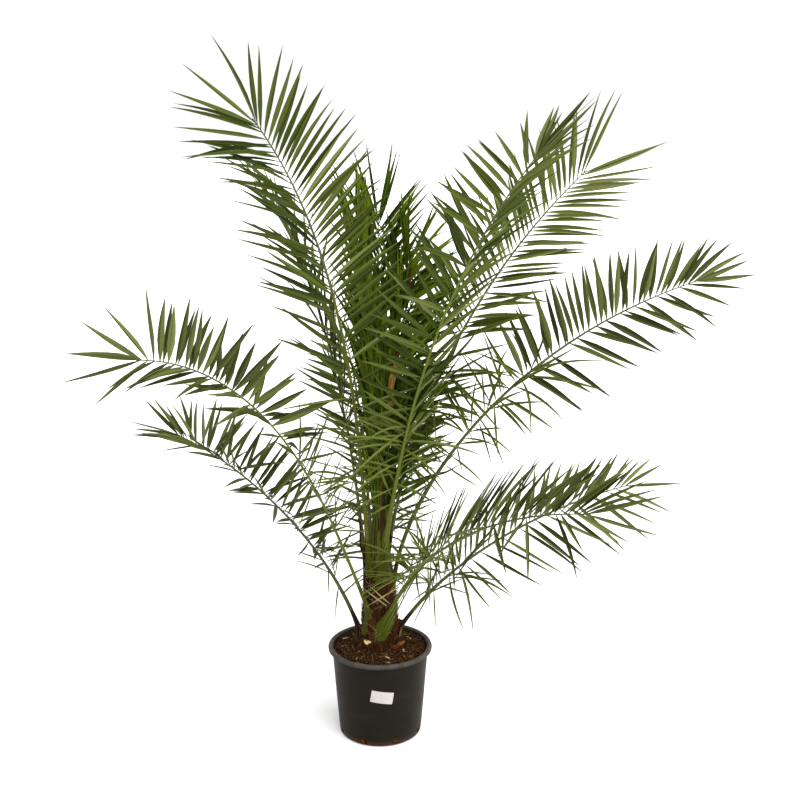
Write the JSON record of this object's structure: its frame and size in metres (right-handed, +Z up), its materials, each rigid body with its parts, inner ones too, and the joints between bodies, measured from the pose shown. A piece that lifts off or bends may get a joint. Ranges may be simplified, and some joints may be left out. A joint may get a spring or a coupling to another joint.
{
  "type": "potted canary island date palm",
  "caption": "Young feather palm with a short fibrous trunk, arching fronds of narrow leaflets and an upright folded heart, in a round dark plastic nursery pot filled with soil.",
  "frame": {"origin": "middle of the pot's flat underside, on the surface that it stands on", "axes": "+Z up along the trunk, -Y towards the viewer of the picture, +X to the viewer's right"},
  "size_m": [1.7549, 1.3233, 1.8208],
  "materials": {
    "pot": "matt dark charcoal plastic, slightly scuffed",
    "soil": "moist brown potting soil with fibres",
    "label": "blank white sticker",
    "trunk": "reddish brown fibrous leaf sheaths",
    "dry_base": "dry brown husk",
    "frond": "satin green leaf",
    "young_frond": "satin bright green leaf"
  },
  "bodies": {
    "root": {"pot": "pot", "soil": "soil", "label": "label", "trunk": "trunk", "old_base_front": "dry_base", "old_base_front_right": "dry_base", "old_base_left": "dry_base", "old_base_back_left": "dry_base", "old_base_back_right": "dry_base", "dry_sheath": "dry_base", "frond_upper_left": "frond", "frond_upper_left_rear": "frond", "frond_upper_right_inner": "frond", "frond_upper_right_outer": "frond", "frond_upper_right_rear": "frond", "frond_right_inner": "frond", "frond_right_outer": "frond", "frond_low_right_front_inner": "frond", "frond_low_right_front_outer": "frond", "frond_low_right": "frond", "frond_left_inner": "frond", "frond_left_outer": "frond", "frond_low_left_inner": "frond", "frond_low_left_outer": "frond", "frond_back_right_inner": "frond", "frond_back_right_outer": "frond", "frond_back_left_inner": "frond", "frond_back_left_outer": "frond", "frond_low_back": "frond", "young_frond_left": "young_frond", "young_frond_middle": "young_frond", "young_frond_right": "young_frond"}
  },
  "joints": []
}
